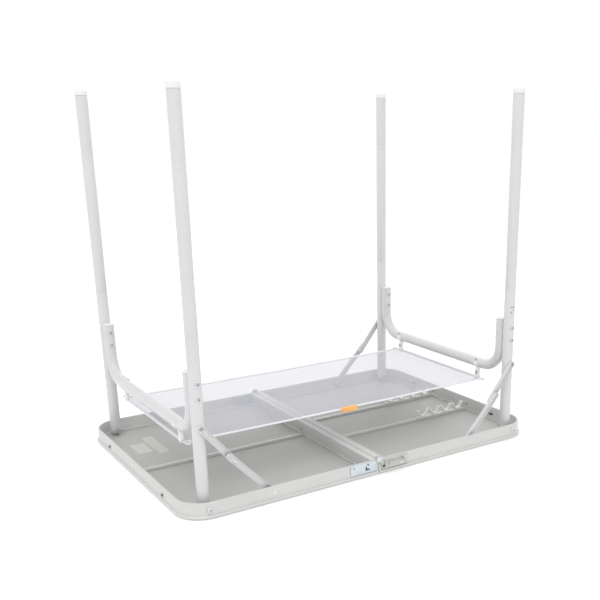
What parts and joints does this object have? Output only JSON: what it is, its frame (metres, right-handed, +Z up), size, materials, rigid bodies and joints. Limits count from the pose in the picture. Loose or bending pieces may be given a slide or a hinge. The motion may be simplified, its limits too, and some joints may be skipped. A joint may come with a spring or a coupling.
{
  "type": "folding table",
  "caption": "Folding picnic table standing upside down on its top, with two hinged framed halves, braced folding legs with pull-off extensions, and a net shelf.",
  "frame": {"origin": "on the floor under the middle of the centre seam, at the top's outer face", "axes": "+Z up from the tabletop's outer face towards the feet, +X along the table's length away from the left half, +Y across its width"},
  "size_m": [0.783, 0.5337, 0.7],
  "materials": {
    "leg_white": "satin",
    "frame_silver": "satin",
    "board_grey": "matte",
    "zinc": "satin",
    "warm_zinc": "satin",
    "clip_plastic": "satin",
    "cap_plastic": "satin",
    "net_mesh": "matte"
  },
  "bodies": {
    "left_half": {"left_frame": "frame_silver", "left_board": "board_grey", "left_seam_rail": "frame_silver", "left_rib": "frame_silver", "near_hinge_left_leaf": "zinc", "far_hinge_left_leaf": "zinc", "near_hinge_pin": "zinc", "far_hinge_pin": "zinc", "near_left_leg_bolt": "zinc", "far_left_leg_bolt": "zinc", "net_shelf": "net_mesh"},
    "right_half": {"right_frame": "frame_silver", "right_board": "board_grey", "right_seam_rail": "frame_silver", "right_rib_near": "frame_silver", "right_rib_far": "frame_silver", "near_hinge_right_leaf": "warm_zinc", "far_hinge_right_leaf": "warm_zinc", "rack_near": "clip_plastic", "rack_far": "clip_plastic", "near_right_leg_bolt": "zinc", "far_right_leg_bolt": "zinc", "latch_spring": "zinc"},
    "latch": {"latch_slider": "warm_zinc"},
    "left_leg_frame": {"near_left_leg_stub": "leg_white", "far_left_leg_stub": "leg_white", "left_u_tube": "leg_white", "near_left_arm_plug": "cap_plastic", "far_left_arm_plug": "cap_plastic", "near_left_net_clip": "clip_plastic", "far_left_net_clip": "clip_plastic", "left_net_wire": "leg_white"},
    "near_left_extension": {"near_left_leg_extension": "leg_white", "near_left_foot_cap": "cap_plastic"},
    "near_left_stay_upper_link": {"near_left_stay_upper": "leg_white"},
    "near_left_stay_lower_link": {"near_left_stay_lower": "leg_white"},
    "far_left_extension": {"far_left_leg_extension": "leg_white", "far_left_foot_cap": "cap_plastic"},
    "far_left_stay_upper_link": {"far_left_stay_upper": "leg_white"},
    "far_left_stay_lower_link": {"far_left_stay_lower": "leg_white"},
    "right_leg_frame": {"near_right_leg_stub": "leg_white", "far_right_leg_stub": "leg_white", "right_u_tube": "leg_white", "near_right_arm_plug": "cap_plastic", "far_right_arm_plug": "cap_plastic", "near_right_net_clip": "clip_plastic", "far_right_net_clip": "clip_plastic", "right_net_wire": "leg_white"},
    "near_right_extension": {"near_right_leg_extension": "leg_white", "near_right_foot_cap": "cap_plastic"},
    "near_right_stay_upper_link": {"near_right_stay_upper": "leg_white"},
    "near_right_stay_lower_link": {"near_right_stay_lower": "leg_white"},
    "far_right_extension": {"far_right_leg_extension": "leg_white", "far_right_foot_cap": "cap_plastic"},
    "far_right_stay_upper_link": {"far_right_stay_upper": "leg_white"},
    "far_right_stay_lower_link": {"far_right_stay_lower": "leg_white"}
  },
  "joints": [
    {"name": "halves_fold", "type": "hinge", "parent": "left_half", "child": "right_half", "pos_m": [0, 0, 0.03], "axis": [0, 1, 0], "range_deg": [-50, 0]},
    {"name": "latch_slide", "type": "slide", "parent": "right_half", "child": "latch", "axis": [1, 0, 0], "range_m": [0, 0.004], "stiffness_N_per_m": 400, "springref_m": -0.002, "deforming": ["latch_spring"]},
    {"name": "left_leg_frame_fold", "type": "hinge", "parent": "left_half", "child": "left_leg_frame", "pos_m": [-0.346, 0, 0.0165], "axis": [0, 1, 0], "range_deg": [0, 72], "deforming": ["net_shelf"]},
    {"name": "near_left_extension_pull", "type": "slide", "parent": "left_leg_frame", "child": "near_left_extension", "axis": [0, 0, 1], "range_m": [0, 0.2]},
    {"name": "near_left_stay_upper_turn", "type": "hinge", "parent": "left_leg_frame", "child": "near_left_stay_upper_link", "pos_m": [-0.346, -0.246, 0.158], "axis": [0, 1, 0], "range_deg": [-110.63, 0]},
    {"name": "near_left_stay_lower_turn", "type": "hinge", "parent": "left_half", "child": "near_left_stay_lower_link", "pos_m": [-0.222, -0.246, 0.0165], "axis": [0, 1, 0], "range_deg": [0, 119.24]},
    {"name": "far_left_extension_pull", "type": "slide", "parent": "left_leg_frame", "child": "far_left_extension", "axis": [0, 0, 1], "range_m": [0, 0.2]},
    {"name": "far_left_stay_upper_turn", "type": "hinge", "parent": "left_leg_frame", "child": "far_left_stay_upper_link", "pos_m": [-0.346, 0.246, 0.158], "axis": [0, 1, 0], "range_deg": [-110.63, 0]},
    {"name": "far_left_stay_lower_turn", "type": "hinge", "parent": "left_half", "child": "far_left_stay_lower_link", "pos_m": [-0.222, 0.246, 0.0165], "axis": [0, 1, 0], "range_deg": [0, 119.24]},
    {"name": "right_leg_frame_fold", "type": "hinge", "parent": "right_half", "child": "right_leg_frame", "pos_m": [0.346, 0, 0.0165], "axis": [0, -1, 0], "range_deg": [0, 72], "deforming": ["net_shelf"]},
    {"name": "near_right_extension_pull", "type": "slide", "parent": "right_leg_frame", "child": "near_right_extension", "axis": [0, 0, 1], "range_m": [0, 0.2]},
    {"name": "near_right_stay_upper_turn", "type": "hinge", "parent": "right_leg_frame", "child": "near_right_stay_upper_link", "pos_m": [0.346, -0.246, 0.158], "axis": [0, -1, 0], "range_deg": [-110.63, 0]},
    {"name": "near_right_stay_lower_turn", "type": "hinge", "parent": "right_half", "child": "near_right_stay_lower_link", "pos_m": [0.222, -0.246, 0.0165], "axis": [0, -1, 0], "range_deg": [0, 119.24]},
    {"name": "far_right_extension_pull", "type": "slide", "parent": "right_leg_frame", "child": "far_right_extension", "axis": [0, 0, 1], "range_m": [0, 0.2]},
    {"name": "far_right_stay_upper_turn", "type": "hinge", "parent": "right_leg_frame", "child": "far_right_stay_upper_link", "pos_m": [0.346, 0.246, 0.158], "axis": [0, -1, 0], "range_deg": [-110.63, 0]},
    {"name": "far_right_stay_lower_turn", "type": "hinge", "parent": "right_half", "child": "far_right_stay_lower_link", "pos_m": [0.222, 0.246, 0.0165], "axis": [0, -1, 0], "range_deg": [0, 119.24]}
  ],
  "couplings": [
    {"joint": "near_left_stay_upper_turn", "follows": "left_leg_frame_fold", "ratio": -1.535},
    {"joint": "near_left_stay_lower_turn", "follows": "left_leg_frame_fold", "ratio": 1.6544},
    {"joint": "far_left_stay_upper_turn", "follows": "left_leg_frame_fold", "ratio": -1.535},
    {"joint": "far_left_stay_lower_turn", "follows": "left_leg_frame_fold", "ratio": 1.6544},
    {"joint": "near_right_stay_upper_turn", "follows": "right_leg_frame_fold", "ratio": -1.535},
    {"joint": "near_right_stay_lower_turn", "follows": "right_leg_frame_fold", "ratio": 1.6544},
    {"joint": "far_right_stay_upper_turn", "follows": "right_leg_frame_fold", "ratio": -1.535},
    {"joint": "far_right_stay_lower_turn", "follows": "right_leg_frame_fold", "ratio": 1.6544}
  ]
}
